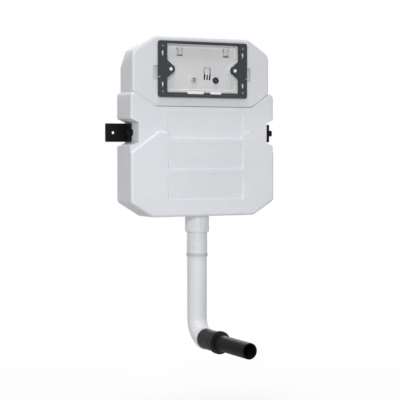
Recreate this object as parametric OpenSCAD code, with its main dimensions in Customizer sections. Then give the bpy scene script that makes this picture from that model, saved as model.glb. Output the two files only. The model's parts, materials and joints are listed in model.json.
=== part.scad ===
// Concealed wall cistern with a moulded insulating jacket, a front access frame and a flush bend.
// Wall plane at y = 0, front towards -y, up is +z, origin midway between the two wall fixing holes.

/* [Jacket] */
// Overall width of the jacket
body_w = 365; // [340:1:400]
// Overall height of the jacket
body_h = 406; // [396:1:450]
// Overall depth of the jacket at the lower panel
body_d = 79; // [77:0.5:92]
// Height of the wall fixing line above the underside of the jacket
fix_height = 190; // [185:1:200]
// Set-back of the middle band from the lower panel
band_step = 3; // [2:0.5:6]
// Set-back of the upper face from the middle band
face_step = 8; // [4:0.5:10]
// Inset of each side of the upper part
top_inset = 8.5; // [4:0.5:12]
// Width of the corner cuts at the top
top_cut_w = 54; // [40:1:60]
// Height of the corner cuts at the top
top_cut_h = 35; // [25:1:40]
// Width of the corner cuts at the bottom
base_cut_w = 54; // [40:1:60]
// Height of the corner cuts at the bottom
base_cut_h = 33; // [30:1:45]
// Radius of the front edges
edge_r = 6; // [4:0.5:9]
// Radius of the corners in the front view
plan_r = 10; // [4:0.5:14]
// Radius of the upper corners in the front view
top_r = 20; // [10:0.5:24]
// Extra width of the top corner cuts at the back
back_cut_w = 12; // [8:0.5:14]
// Extra height of the top corner cuts at the back
back_cut_h = 35; // [28:0.5:40]
// Depth of the ledge below the top of the jacket
ledge_drop = 157.5; // [150:0.5:160]
// Rise of the ledge from the middle to the sides
ledge_rise = 32; // [26:0.5:36]
// Width of each sloping end of the ledge
ledge_run = 50.5; // [40:1:60]
// Slope of the ledge lip, measured on the front
lip = 1; // [0.5:0.5:3]
// Height of the groove above the ledge
groove_h = 1.6; // [1:0.1:3]
// Depth of the groove above the ledge
groove_depth = 3; // [1:0.1:4]
// Depth of the lower panel's top edge below the ledge
panel_drop = 54.5; // [50:0.5:60]
// Fall of the lower panel's top edge at the sides
panel_fall = 47; // [40:1:52]
// Width of each sloping end of the lower panel
panel_run = 67; // [60:1:75]
// Offset of the ledge, the sunk panels and the latches to the right of the middle
front_shift = 4; // [0:0.5:6]
// Thickness of the rear closing panel
rear_t = 8; // [6:0.5:9]

/* [Sunk panels] */
// Width of the three sunk panels
sunk_w = 194; // [170:1:204]
// Height of the lowest sunk panel above the underside of the jacket
sunk_foot = 38; // [34:0.5:46]
// Rib left between two sunk panels
sunk_rib = 9; // [7:0.5:12]
// Depth of the sunk panels at their lower edge
sunk_depth = 3; // [1.5:0.5:4]
// Gap from the ledge down to the first sunk panel
sunk_drop = 12.5; // [10:0.5:16]
// Depth of the sunk panels at their upper edge
sunk_start = 0.3; // [0.2:0.1:1]

/* [Tank] */
// Thickness of the jacket beside the tank
tank_side = 30.5; // [26:0.5:32]
// Thickness of the jacket above and below the tank
tank_end = 12; // [11:0.5:14]
// Thickness of the jacket in front of the tank at the upper face
tank_front = 10; // [9:0.5:11]
// Wall thickness of the tank
tank_wall = 3; // [2.5:0.1:3.5]

/* [Access frame] */
// Width of the dark access frame
frame_w = 226; // [220:1:236]
// Height of the dark access frame
frame_h = 126; // [120:1:130]
// Depth of the frame's middle below the top of the jacket
frame_drop = 73; // [72:0.5:77]
// Thickness of the frame
frame_t = 5; // [4:0.5:6]
// Width of the frame's side rails
rail_side = 21.5; // [20:0.5:25]
// Height of the frame's top rail
rail_top = 5.2; // [4.8:0.1:9]
// Height of the frame's bottom rail
rail_base = 10.5; // [7.5:0.1:11]
// Reach of each lug into the opening
lug_reach = 19.5; // [17:0.5:21]
// Distance of the lug eyes from the side rails
eye_in = 9.5; // [7.5:0.5:10]
// Diameter of the lug eyes
eye_d = 8.6; // [5:0.1:9]
// Distance of the keyhole slots above and below the middle of the frame
slot_rise = 35; // [32:0.5:38]
// Width of the finger recesses beside the frame
grip_w = 11; // [8:0.5:14]
// Height of the finger recesses beside the frame
grip_h = 32; // [26:0.5:40]
// Depth of the finger recesses beside the frame
grip_depth = 4; // [2:0.5:6]
// Height of the finger recesses below the middle of the frame
grip_drop = 9; // [4:0.5:14]

/* [Cover and push rods] */
// Thickness of the cover plate
cover_t = 3; // [2.5:0.1:4]
// Depth of the cover plate behind the front of the frame
cover_sink = 12; // [11:0.5:13]
// Distance between the two push rods
rod_span = 56; // [54:0.5:58]
// Offset of the push rods to the right of the middle
rod_shift = 8; // [5:0.5:10]
// Diameter of the push rod heads
rod_d = 13.5; // [11:0.1:15]
// Height of the push rods below the middle of the frame
rod_drop = 23; // [21:0.5:24]
// Travel of the push rods
rod_travel = 8; // [6:0.5:8]

/* [Flush valve] */
// Outer diameter of the overflow tube
tube_d = 26; // [25:0.5:28]
// Outer diameter of the valve cage
cage_d = 51; // [50:0.5:53]
// Height of the valve cage above the tank floor
cage_h = 118; // [100:1:125]
// Outer diameter of the valve tail
tail_d = 47.8; // [46:0.1:48.5]
// Depth of the overflow edge below the top of the jacket
overflow_drop = 176; // [167:1:187]

/* [Fill valve] */
// Diameter of the inlet tail
inlet_d = 20.8; // [20:0.1:21.5]
// Depth of the inlet below the top of the jacket
inlet_drop = 88; // [83:1:97]
// Reach of the inlet tail beyond the side of the jacket
inlet_reach = 12; // [10:0.5:18]
// Diameter of the float cup
float_d = 34; // [30:0.5:35]
// Height of the float cup
float_h = 50; // [40:1:60]

/* [Flush pipe] */
// Outer diameter of the union nut
nut_d = 55.5; // [54.5:0.1:58]
// Height of the union nut below the jacket
nut_h = 37; // [32:0.5:42]
// Outer diameter of the pipe below the nut
neck_d = 47; // [46.6:0.1:47.2]
// Length of the wider pipe below the nut
neck_len = 49; // [40:1:60]
// Outer diameter of the bend
pipe_d = 45.4; // [44:0.1:45.5]
// Wall thickness of the pipe
pipe_wall = 2.4; // [2:0.1:2.6]
// Radius of the bend at its centre line
bend_r = 44.5; // [38:0.5:46]
// Depth of the outlet centre line below the underside of the jacket
outlet_drop = 280; // [250:0.2:300]
// Outer diameter of the spigot inside the sleeve
spigot_d = 40; // [39:0.1:40.6]

/* [Connector] */
// Outer diameter of the rubber sleeve
sleeve_d = 46.4; // [46:0.1:48]
// Length of the rubber sleeve
sleeve_len = 70; // [64:0.5:80]
// Outer diameter of the ring at the end of the sleeve
ring_d = 52; // [50:0.5:54]
// Width of the ring at the end of the sleeve
ring_len = 9; // [7:0.5:12]
// Outer diameter of the connecting pipe
spout_d = 36; // [35:0.1:37]
// Length of the connecting pipe beyond the sleeve
spout_len = 135; // [110:1:150]

/* [Wall brackets] */
// Height of the brackets
bracket_h = 42; // [38:0.5:44]
// Thickness of the brackets
bracket_t = 4; // [3:0.5:5]
// Length of the legs on the wall from the corner
wall_leg = 49; // [44:0.5:54]
// Length of the legs beside the jacket from the corner
side_leg = 38; // [37.5:0.5:50]
// Reach of the round lug
lug_tip = 7.5; // [4:0.5:10]
// Distance from the corner to the holes
leg_hole = 30.5; // [28:0.5:32]
// Diameter of the fixing holes
fix_d = 6.6; // [6.2:0.1:9]
// Depth of the side notches
notch_depth = 19; // [15.5:0.5:20]
// Height of the side notches at the face
notch_h = 62; // [60:0.5:68]
// Height of the side notches at the floor
notch_floor = 45; // [44.5:0.5:48]

/* [Hidden] */
$fn = 64;

// Clearances and small shared sizes
fit = 0.5;
slide_gap = 0.4;
pin_gap = 0.05;
thread_gap = 0.2;
rest_gap = 0.3;
over = 1;
skin = 0.01;

// Planes and edges of the jacket
y_low = -body_d;
y_band = y_low + band_step;
y_face = y_band + face_step;
z_base = -fix_height;
z_top = z_base + body_h;
half_w = body_w / 2;
top_half = half_w - top_inset;
ledge_z = z_top - ledge_drop;
ledge_top = ledge_z + ledge_rise;
panel_top_z = ledge_z - panel_drop;
sunk_z1 = ledge_z - sunk_drop;
sunk_h = (sunk_z1 - z_base - sunk_foot - 2 * sunk_rib) / 3;
notch_x = half_w - notch_depth;
fillet_steps = [0 : 22.5 : 90];
back_knee = 2;

// Tank and its access neck
tank_half = half_w - tank_side;
tank_z0 = z_base + tank_end;
tank_z1 = z_top - tank_end;
tank_y0 = y_face + tank_front;
tank_y1 = -rear_t - fit;
floor_z = tank_z0 + tank_wall;
inner_half = tank_half - tank_wall;
inner_y0 = tank_y0 + tank_wall;
inner_y1 = tank_y1 - tank_wall;
frame_z = z_top - frame_drop;
frame_z0 = frame_z - frame_h / 2;
frame_z1 = frame_z + frame_h / 2;
open_half = frame_w / 2 - rail_side;
open_z0 = frame_z0 + rail_base;
open_z1 = frame_z1 - rail_top;
neck_margin = 0.8;
neck_inset = [5, 2];
neck_half = frame_w / 2 - neck_inset[0];
neck_z0 = frame_z0 + neck_inset[1];
neck_z1 = frame_z1 - neck_inset[1];
neck_in = open_half + neck_margin;
neck_in_z0 = open_z0 - neck_margin;
neck_in_z1 = open_z1 + neck_margin;
seat_w = 3.5;
seat_half = open_half - seat_w;
frame_y = y_face - frame_t;
frame_r = 5;
eye_x = open_half - eye_in;
lug_r = lug_reach - eye_in;
lug_angle = 50;
lug_sink = 0.6;
slot_in = 11;
slot_x = frame_w / 2 - slot_in;
slot_r = 3;
slot_len = 14;
screw_in = [11, 12];
screw_x = frame_w / 2 - screw_in[0];
screw_rise = frame_h / 2 - screw_in[1];
frame_screw_r = 2;
frame_screw_len = 12;

// Cover, rods and levers
cover_y0 = frame_y + cover_sink;
cover_y1 = cover_y0 + cover_t;
rim_h = cover_y0 - y_face - fit;
rim_w = 2.4;
hook_spans = [[-40, 1], [18, 46]];
hook_depth = 3;
latch_span = 118;
latch_x = [front_shift - latch_span / 2, front_shift + latch_span / 2];
latch_drop = 16;
latch_z = open_z1 - latch_drop;
latch_w = 13;
latch_h = 20;
rod_z = frame_z - rod_drop;
rod_half_x = rod_shift - rod_span / 2;
rod_full_x = rod_shift + rod_span / 2;
rod_r = rod_d / 2;
rod_tip_r = 4;
rod_reach = rod_travel - cover_t;
fork_shift = 4;
fork_x = rod_shift + fork_shift;
window_shift = 7.5;
window_x = rod_shift + window_shift;
window_w = 18;
window_h = 29;
window_rise = 15;
window_z = rod_z + window_rise;
lever_r = 16;
lever_arm = 24;
lever_t = 4;
hub_r = 5;
pivot_pin_r = 2.5;
pivot_back = 7;
pivot_y = cover_y1 + pivot_back;
pivot_z = rod_z + lever_r;
rod_tip_y = pivot_y - lever_t / 2 - slide_gap;
stem_y = pivot_y + lever_arm;
stem_r = 2.5;
fork_t = 3;
fork_gap = 0.7;
prong_w = 2.5;
collar_r = 5.5;
collar_t = 4;
collar_lift = 1;
collar_z = pivot_z + fork_t / 2 + collar_lift;
bar_h = 8;
bar_t = 8;
bar_y = cover_y1 + fit;
bar_rise = 10.5;
bar_z = pivot_z + bar_rise;
cheek_t = 3.5;
cheek_r = 5.5;
hub_w = 6.5;
half_hub = [rod_half_x - hub_w, rod_half_x + hub_w];
full_hub = [fork_x - hub_w, rod_full_x + hub_w - over];

// Flush valve
valve_y = -body_d / 2;
tube_r = tube_d / 2;
tube_wall = 3;
tube_bore = tube_r - tube_wall;
cage_r = cage_d / 2;
cage_wall = 2.5;
cage_bore = cage_r - cage_wall;
cage_top = floor_z + cage_h;
tail_washer_t = 2;
washer_over = 1;
cage_z0 = floor_z + tail_washer_t;
seat_t = 3;
seat_z = cage_z0 + seat_t;
tail_r = tail_d / 2;
tail_wall = 3.9;
tail_bore = tail_r - tail_wall;
seal_t = 3.2;
seal_z = seat_z + rest_gap;
tube_z = seal_z + seal_t;
sleeve_in = tube_r + slide_gap;
lift_wall = 3.1;
lift_below = 50;
lift_above = 14;
sleeve_out = sleeve_in + lift_wall;
sleeve_z0 = cage_top - lift_below;
sleeve_z1 = cage_top + lift_above;
boss_r = 5;
boss_t = 6;
overflow_z = z_top - overflow_drop;
cage_windows = 4;
window_arc = 22;
sump_in = cage_r + washer_over + fit;
sump_half = sump_in + tank_wall;
sump_y0 = min(valve_y - sump_half, tank_y0 - over);
sump_above = 30;
sump_z1 = cage_top + sump_above;

// Fill valve
float_side = 3;
fill_x = inner_half - float_d / 2 - float_side;
fill_y = (inner_y0 + inner_y1) / 2;
inlet_r = inlet_d / 2;
inlet_wall = 4.4;
inlet_bore = inlet_r - inlet_wall;
washer_t = 3;
flange_w = 4.6;
flange_r = inlet_r + flange_w;
head_r = 13;
head_below = 28;
head_above = 14;
inlet_z = z_top - inlet_drop;
head_z0 = inlet_z - head_below;
head_z1 = inlet_z + head_above;
backnut_t = 10;
backnut_r = 16.5;
pocket_gap = 3;
pocket_r = backnut_r + pocket_gap;
arm_drop = 14;
arm_z = head_z0 - arm_drop;
arm_len = 22;
arm_x = fill_x + arm_len / 2;
arm_side = 9;
arm_y = fill_y - arm_side;
arm_w = 5;
arm_t = 3;
arm_pin_r = 1.5;
arm_slot_r = 2.6;
guide_r = 5;
float_r = float_d / 2;
float_drop = 20;
float_z1 = arm_z - float_drop;
float_z0 = float_z1 - float_h;
float_wall = 2;
float_rod_r = 1.8;
float_collar_r = 3.2;
float_gap = 1.8;

// Flush pipe and connector
nut_r = nut_d / 2;
nut_z0 = z_base - nut_h;
nut_lip = 10;
pipe_seal_t = 3;
tail_z0 = nut_z0 + nut_lip + pipe_seal_t;
neck_r = neck_d / 2;
neck_bottom = nut_z0 - neck_len;
pipe_r = pipe_d / 2;
pipe_bore = pipe_r - pipe_wall;
out_z = z_base - outlet_drop;
bend_y = valve_y - bend_r;
bend_z = out_z + bend_r;
spigot_r = spigot_d / 2;
spigot_bore = spigot_r - pipe_wall;
sleeve_y1 = bend_y - over;
sleeve_y0 = sleeve_y1 - sleeve_len;
spigot_len = 42;
spigot_end = sleeve_y1 - spigot_len;
sleeve_r = sleeve_d / 2;
ring_r = ring_d / 2;
spout_r = spout_d / 2;
spout_wall = 2.6;
spout_grip = 22;
spout_bore = spout_r - spout_wall;
spout_root = sleeve_y0 + spout_grip;
spout_end = sleeve_y0 - spout_len;
spout_bevel = 1;
spout_step = 1;
root_r = spout_r - spout_step;
press_gap = 0.1;

// Bracket fasteners
bracket_screw_r = 3;
bracket_head_r = 7;
bracket_head_t = 3;

function cut_scale(w, h, k) = 1 + k * (norm([1 / w, 1 / h]) - 1 / w - 1 / h);

// Extrudes a front-view outline between two depths
module front_prism(y0, y1) {
    translate([0, y1, 0]) rotate([90, 0, 0]) linear_extrude(y1 - y0) children();
}

module along_x(r, x0, x1) { translate([x0, 0, 0]) rotate([0, 90, 0]) cylinder(r = r, h = x1 - x0); }

module along_y(r, y0, y1) { translate([0, y1, 0]) rotate([90, 0, 0]) cylinder(r = r, h = y1 - y0); }

module along_z(r, z0, z1) { translate([0, 0, z0]) cylinder(r = r, h = z1 - z0); }

module block(low, high) { translate(low) cube(high - low); }

// Rectangle with round corners, from its low corner to its high corner
module round_rect(low, high, r) {
    translate([low[0] + r, low[1]]) square([high[0] - low[0] - 2 * r, high[1] - low[1]]);
    translate([low[0], low[1] + r]) square([high[0] - low[0], high[1] - low[1] - 2 * r]);
    for (x = [low[0] + r, high[0] - r], z = [low[1] + r, high[1] - r]) translate([x, z]) circle(r);
}

// Symmetric outline with cut corners, moved inwards by k
module cut_outline(half, z0, z1, top_cut, base_cut, k = 0) {
    top = top_cut * cut_scale(top_cut[0], top_cut[1], k);
    base = base_cut * cut_scale(base_cut[0], base_cut[1], k);
    h = half - k;
    polygon([
        [base[0] - h, z0 + k], [h - base[0], z0 + k], [h, z0 + k + base[1]], [h, z1 - k - top[1]],
        [h - top[0], z1 - k], [top[0] - h, z1 - k], [-h, z1 - k - top[1]], [-h, z0 + k + base[1]]
    ]);
}

// Slab with a cut-corner outline, a rounded front edge and its back outline as the child
module soft_slab(half, z0, z1, top_cut, base_cut, y0, corner_r) {
    hull() {
        front_prism(-skin, 0) children();
        for (t = fillet_steps)
            translate([0, y0 + edge_r * (1 - sin(t)), 0])
                front_prism(0, skin)
                    slab_outline(half, z0, z1, top_cut, base_cut, corner_r, edge_r * (1 - cos(t)));
    }
}

module slab_outline(half, z0, z1, top_cut, base_cut, corner_r, k = 0) {
    r = max(corner_r - k / 2, 2);
    offset(r = r, $fn = 32) offset(delta = -r) cut_outline(half, z0, z1, top_cut, base_cut, k);
}

// Back outline of the upper part, with a knee in each larger corner cut
module back_outline() {
    knee_x = top_half - back_cut_w;
    knee_z = z_top - top_cut_h + back_knee;
    cut_x = top_half - top_cut_w - back_cut_w;
    side_z = z_top - top_cut_h - back_cut_h;
    polygon([
        [-top_half, ledge_z], [top_half, ledge_z], [top_half, side_z], [knee_x, knee_z],
        [cut_x, z_top], [-cut_x, z_top], [-knee_x, knee_z], [-top_half, side_z]
    ]);
}

module tank_outline(k) {
    cut_outline(tank_half, tank_z0, tank_z1, [top_cut_w, top_cut_h], [base_cut_w, base_cut_h], k);
}

// Outline of the upper face, with its lower edge dropped by d
module ledge_outline(d) {
    run_x = top_half - ledge_run;
    polygon([
        [-top_half, ledge_top - d], [front_shift - run_x, ledge_z - d], [front_shift + run_x, ledge_z - d],
        [top_half, ledge_top - d], [top_half, z_top], [-top_half, z_top]
    ]);
}

module ledge_cut() {
    hull() {
        front_prism(y_face - skin, y_face) ledge_outline(0);
        front_prism(y_low - over, y_face - lip) ledge_outline(lip);
    }
    front_prism(y_low, y_face + groove_depth) difference() {
        ledge_outline(0);
        translate([0, groove_h]) ledge_outline(0);
    }
}

module side_notch() {
    y_rear = over;
    front_prism(y_low - over, y_rear)
        polygon([
            [notch_x, -notch_floor / 2], [half_w, -notch_h / 2], [half_w + over, -notch_h / 2],
            [half_w + over, notch_h / 2], [half_w, notch_h / 2], [notch_x, notch_floor / 2]
        ]);
}

// Panels that grow deeper downwards
module sunk_panels() {
    for (i = [0 : 2]) {
        z1 = sunk_z1 - i * (sunk_h + sunk_rib);
        front_y = i == 0 ? y_band : y_low;
        translate([front_shift - sunk_w / 2, 0, 0]) rotate([90, 0, 90]) linear_extrude(sunk_w)
            polygon([
                [y_low - over, z1], [front_y + sunk_start, z1],
                [front_y + sunk_depth, z1 - sunk_h], [y_low - over, z1 - sunk_h]
            ]);
    }
}

// Shallow recesses for the fingers at both sides of the frame
module finger_recesses() {
    grip_x = frame_w / 2 + grip_w;
    grip_z = frame_z - grip_drop;
    front_prism(y_face - over, y_face + grip_depth)
        round_rect([-grip_x, grip_z - grip_h / 2], [grip_x, grip_z + grip_h / 2], 2);
}

module jacket_front() {
    top_cut = [top_cut_w, top_cut_h];
    base_cut = [base_cut_w, base_cut_h];
    panel_cut = [panel_run, panel_fall];
    color("whitesmoke") difference() {
        union() {
            soft_slab(top_half, ledge_z - edge_r, z_top, top_cut, base_cut, y_face, top_r) back_outline();
            soft_slab(half_w, z_base, ledge_top, [over, over], base_cut, y_band, plan_r)
                slab_outline(half_w, z_base, ledge_top, [over, over], base_cut, plan_r);
            soft_slab(half_w, z_base, panel_top_z, panel_cut, base_cut, y_low, plan_r)
                slab_outline(half_w, z_base, panel_top_z, panel_cut, base_cut, plan_r);
        }
        ledge_cut();
        side_notch();
        mirror([1, 0, 0]) side_notch();
        sunk_panels();
        finger_recesses();
        front_prism(tank_y0 - fit, over) tank_outline(-fit);
        front_prism(sump_y0 - fit, tank_y0)
            round_rect([-sump_half - fit, tank_z0 - fit], [sump_half + fit, sump_z1 + fit], 3);
        front_prism(y_low - over, tank_y0)
            round_rect([-neck_half - fit, neck_z0 - fit], [neck_half + fit, neck_z1 + fit], 1);
        translate([0, valve_y, 0]) along_z(tail_r + fit, z_base - over, tank_z0);
        translate([0, fill_y, inlet_z]) along_x(pocket_r, inner_half, half_w);
        for (s = [-1, 1]) translate([s * notch_x, -leg_hole, 0])
            along_x(bracket_screw_r + pin_gap, -tank_side, tank_side);
    }
}

module jacket_back() {
    pocket_rib = [14, 22];
    pocket_margin = [20, 37];
    pocket_t = 3;
    pocket_pitch = [(2 * tank_half - 2 * pocket_margin[0] + pocket_rib[0]) / 3,
                    (tank_z1 - tank_z0 - 2 * pocket_margin[1] + pocket_rib[1]) / 3];
    pocket = (pocket_pitch - pocket_rib) / 2;
    color("whitesmoke") difference() {
        front_prism(-rear_t, 0) tank_outline(-fit + 0.3);
        for (i = [-1 : 1], j = [-1 : 1])
            translate([i * pocket_pitch[0], 0, j * pocket_pitch[1] + (tank_z0 + tank_z1) / 2])
                front_prism(-pocket_t, over)
                    round_rect(-pocket, pocket, 6);
    }
}

module tank() {
    color("gainsboro") difference() {
        union() {
            front_prism(tank_y0, tank_y1) tank_outline(0);
            front_prism(sump_y0, inner_y0) round_rect([-sump_half, tank_z0], [sump_half, sump_z1], 3);
            front_prism(y_face, tank_y0) round_rect([-neck_half, neck_z0], [neck_half, neck_z1], 1);
        }
        front_prism(inner_y0, inner_y1) tank_outline(tank_wall);
        front_prism(sump_y0 + tank_wall, inner_y0 + over)
            round_rect([-sump_in, floor_z], [sump_in, sump_z1 - tank_wall], 2);
        front_prism(y_face - over, tank_y0)
            round_rect([-neck_in, neck_in_z0], [neck_in, neck_in_z1], 3);
        front_prism(tank_y0 - over, inner_y0 + over)
            round_rect([-seat_half, open_z0 + seat_w], [seat_half, open_z1 - seat_w], 3);
        translate([0, valve_y, 0]) along_z(tail_r + thread_gap, tank_z0 - over, floor_z + over);
        translate([0, fill_y, inlet_z]) along_x(inlet_r + thread_gap, inner_half - over, tank_half + over);
        for (x = [-screw_x, screw_x], z = [-screw_rise, screw_rise])
            translate([x, 0, frame_z + z])
                along_y(frame_screw_r + pin_gap, y_face - over, frame_y + frame_t + frame_screw_len);
        for (s = [-1, 1]) translate([s * tank_half, -leg_hole, 0])
            along_x(bracket_screw_r + pin_gap, -tank_wall - over, tank_wall + over);
    }
}

// Round-ended lug that reaches in from the right rail, grown by g
module lug_outline(g) {
    r = lug_r + g;
    inner_r = r - lug_sink;
    tip = [eye_x - inner_r * cos(lug_angle), inner_r * sin(lug_angle)];
    rail_x = open_half + over;
    base = tip[1] + (rail_x - tip[0]) * cos(lug_angle) / sin(lug_angle);
    translate([eye_x, 0]) circle(r);
    polygon([[rail_x, -base], [rail_x, base], tip, [tip[0], -tip[1]]]);
}

// Clear opening of the frame, made smaller by g
module opening_outline(g) {
    corner_r = 3;
    translate([0, frame_z]) difference() {
        translate([0, -frame_z])
            round_rect([g - open_half, open_z0 + g], [open_half - g, open_z1 - g], corner_r);
        lug_outline(g);
        mirror([1, 0]) lug_outline(g);
    }
}

module upright_slot(x, z, r, len) {
    run = len - 2 * r;
    translate([x, z]) {
        square([2 * r, run], center = true);
        for (s = [-1, 1]) translate([0, s * run / 2]) circle(r);
    }
}

module access_frame() {
    nick = [3, 1.5];
    nick_drop = 19.5;
    nick_z = frame_z - nick_drop;
    color("darkslategray") difference() {
        front_prism(frame_y, y_face) difference() {
            round_rect([-frame_w / 2, frame_z0], [frame_w / 2, frame_z1], frame_r);
            opening_outline(0);
            for (span = hook_spans)
                translate([span[0] - fit, open_z0 - hook_depth - fit])
                    square([span[1] - span[0] + 2 * fit, hook_depth + fit + over]);
            for (x = [-slot_x, slot_x], z = [-slot_rise, slot_rise])
                upright_slot(x, frame_z + z, slot_r, slot_len);
            for (s = [-1, 1]) translate([s * frame_w / 2 - nick[0] / 2, nick_z]) square(nick);
        }
        for (x = [-eye_x, eye_x]) translate([x, 0, frame_z]) along_y(eye_d / 2, frame_y - over, y_face + over);
        for (x = [-screw_x, screw_x], z = [-screw_rise, screw_rise])
            translate([x, 0, frame_z + z]) along_y(frame_screw_r + pin_gap, frame_y - over, y_face + over);
    }
}

module frame_screws() {
    head_r = 2.6;
    head_t = 1.2;
    color("silver")
        for (x = [-screw_x, screw_x], z = [-screw_rise, screw_rise])
            translate([x, 0, frame_z + z]) {
                along_y(head_r, frame_y - head_t, frame_y);
                along_y(frame_screw_r, frame_y, frame_y + frame_t + frame_screw_len - over);
            }
}

module cover_plate() {
    color("lightgray") difference() {
        union() {
            front_prism(cover_y0, cover_y1) opening_outline(fit);
            front_prism(cover_y0 - rim_h, cover_y0) difference() {
                opening_outline(fit);
                opening_outline(fit + rim_w);
            }
        }
        for (x = [rod_half_x, rod_full_x])
            translate([x, 0, rod_z]) along_y(rod_r + fit, cover_y0 - over, cover_y1 + over);
        front_prism(cover_y0 - over, cover_y1 + over)
            translate([window_x, window_z])
                round_rect([-window_w / 2, -window_h / 2], [window_w / 2, window_h / 2], 2);
        front_prism(cover_y0 - over, cover_y1 + over)
            for (x = latch_x) translate([x, latch_z]) latch_slot();
    }
}

// Slot round three sides of a latch tongue
module latch_slot() {
    gap = 1.6;
    difference() {
        square([latch_w, latch_h], center = true);
        translate([0, gap]) square([latch_w - 2 * gap, latch_h], center = true);
    }
}

module cover_hooks() {
    foot = 3;
    color("white")
        for (span = hook_spans) {
            block([span[0], frame_y + over, open_z0 - hook_depth], [span[1], y_face - rest_gap, open_z0 + foot]);
            block([span[0], y_face - over, open_z0 + fit], [span[1], cover_y0 - rim_h, open_z0 + foot]);
        }
}

module cover_latches() {
    grip_t = 4;
    grip_w = 7;
    grip_h = 3;
    color("gray")
        for (x = latch_x)
            translate([x, 0, latch_z])
                difference() {
                    front_prism(cover_y0 - grip_t, cover_y0)
                        round_rect([-grip_w / 2, -latch_h / 2 + 3], [grip_w / 2, latch_h / 2 - 3], 1.5);
                    front_prism(cover_y0 - grip_t - over, cover_y0 - 1)
                        round_rect([-grip_w / 2 + 2, -grip_h], [grip_w / 2 - 2, grip_h], 1);
                }
}

// Stepped rod with a round tip that presses a lever
module push_rod(x) {
    shoulder = rod_tip_y - rod_tip_r - 2;
    translate([x, 0, rod_z]) difference() {
        union() {
            along_y(rod_r, cover_y0 - rod_reach, shoulder);
            along_y(rod_tip_r, shoulder, rod_tip_y - rod_tip_r);
            translate([0, rod_tip_y - rod_tip_r, 0]) sphere(rod_tip_r);
        }
        along_y(rod_r - 2, cover_y0 - rod_reach - over, cover_y0 - rod_reach + 3);
    }
}

module push_rod_half() { color("white") push_rod(rod_half_x); }

module push_rod_full() { color("midnightblue") push_rod(rod_full_x); }

module cheek(x0) {
    difference() {
        union() {
            block([x0, pivot_y - cheek_r, pivot_z], [x0 + cheek_t, pivot_y + cheek_r - 3, bar_z]);
            translate([0, pivot_y, pivot_z]) along_x(cheek_r, x0, x0 + cheek_t);
        }
        translate([0, pivot_y, pivot_z]) along_x(pivot_pin_r + pin_gap, x0 - over, x0 + cheek_t + over);
    }
}

module lever_bracket() {
    stop_w = 3;
    color("white") {
        block([-seat_half, bar_y, bar_z], [seat_half, bar_y + bar_t, bar_z + bar_h]);
        cheek(half_hub[0] - rest_gap - cheek_t);
        cheek(half_hub[1] + rest_gap);
        cheek(full_hub[0] - rest_gap - cheek_t);
        cheek(full_hub[1] + rest_gap);
        block([fork_x + 4, bar_y + 1, bar_z - 4], [fork_x + 4 + stop_w, bar_y + bar_t - 2, bar_z]);
    }
}

module lever_pin() {
    color("silver") translate([0, pivot_y, pivot_z])
        along_x(pivot_pin_r, half_hub[0] - rest_gap - cheek_t - 2, full_hub[1] + rest_gap + cheek_t + 2);
}

// Bell crank with a push arm at rod_x and a fork at fork_x
module bell_crank(hub, rod_x, fork_x) {
    arm_w = 8;
    fork_in = stem_r + fork_gap;
    fork_out = fork_in + prong_w;
    root_y = pivot_y + lever_arm - 5;
    difference() {
        union() {
            translate([0, pivot_y, pivot_z]) along_x(hub_r, hub[0], hub[1]);
            block([rod_x - arm_w / 2, pivot_y - lever_t / 2, rod_z - 5],
                  [rod_x + arm_w / 2, pivot_y + lever_t / 2, pivot_z]);
            block([fork_x - fork_out, pivot_y, pivot_z - fork_t / 2],
                  [fork_x + fork_out, stem_y + 1, pivot_z + fork_t / 2]);
        }
        block([fork_x - fork_in, root_y, pivot_z - fork_t], [fork_x + fork_in, stem_y + over + 1, pivot_z + fork_t]);
        translate([0, pivot_y, pivot_z]) along_x(pivot_pin_r + pin_gap, hub[0] - over, hub[1] + over);
    }
}

module lever_half() { color("dimgray") bell_crank(half_hub, rod_half_x, rod_half_x); }

module lever_full() { color("dimgray") bell_crank(full_hub, rod_full_x, fork_x); }

module valve_cage() {
    band = 10;
    color("white") translate([0, valve_y, 0]) difference() {
        union() {
            along_z(tail_r, tail_z0, cage_z0);
            along_z(cage_r, cage_z0, cage_top);
        }
        along_z(tail_bore, tail_z0 - over, cage_top + over);
        along_z(cage_bore, seat_z, cage_top + over);
        for (i = [0 : cage_windows - 1]) rotate([0, 0, 45 + i * 360 / cage_windows])
            block([0, -window_arc / 2, seat_z + band], [cage_r + over, window_arc / 2, cage_top - band]);
    }
}

module overflow_tube() {
    flange_t = 3;
    color("white") translate([0, valve_y, 0]) difference() {
        union() {
            along_z(tube_r, tube_z, overflow_z);
            along_z(cage_bore - 2, tube_z, tube_z + flange_t);
        }
        along_z(tube_bore, tube_z - over, overflow_z + over);
    }
}

module valve_seal() {
    color("black") translate([0, valve_y, 0]) difference() {
        along_z(cage_bore - 1, seal_z, seal_z + seal_t);
        along_z(tube_bore, seal_z - over, seal_z + seal_t + over);
    }
}

// Vertical stem with the collar that a lever fork lifts
module lift_stem(x, z0) {
    translate([x, stem_y, 0]) {
        along_z(stem_r, z0, collar_z + collar_t);
        along_z(collar_r, collar_z, collar_z + collar_t);
    }
}

module full_flush_rod() {
    ring_over = 1.5;
    color("white") {
        difference() {
            union() {
                translate([0, valve_y, overflow_z]) along_z(tube_r + ring_over, 0, boss_t);
                translate([fork_x, stem_y, overflow_z]) along_z(boss_r, 0, boss_t);
            }
            translate([0, valve_y, overflow_z]) along_z(tube_bore - 1, -over, boss_t + over);
        }
        lift_stem(fork_x, overflow_z + boss_t);
    }
}

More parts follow.
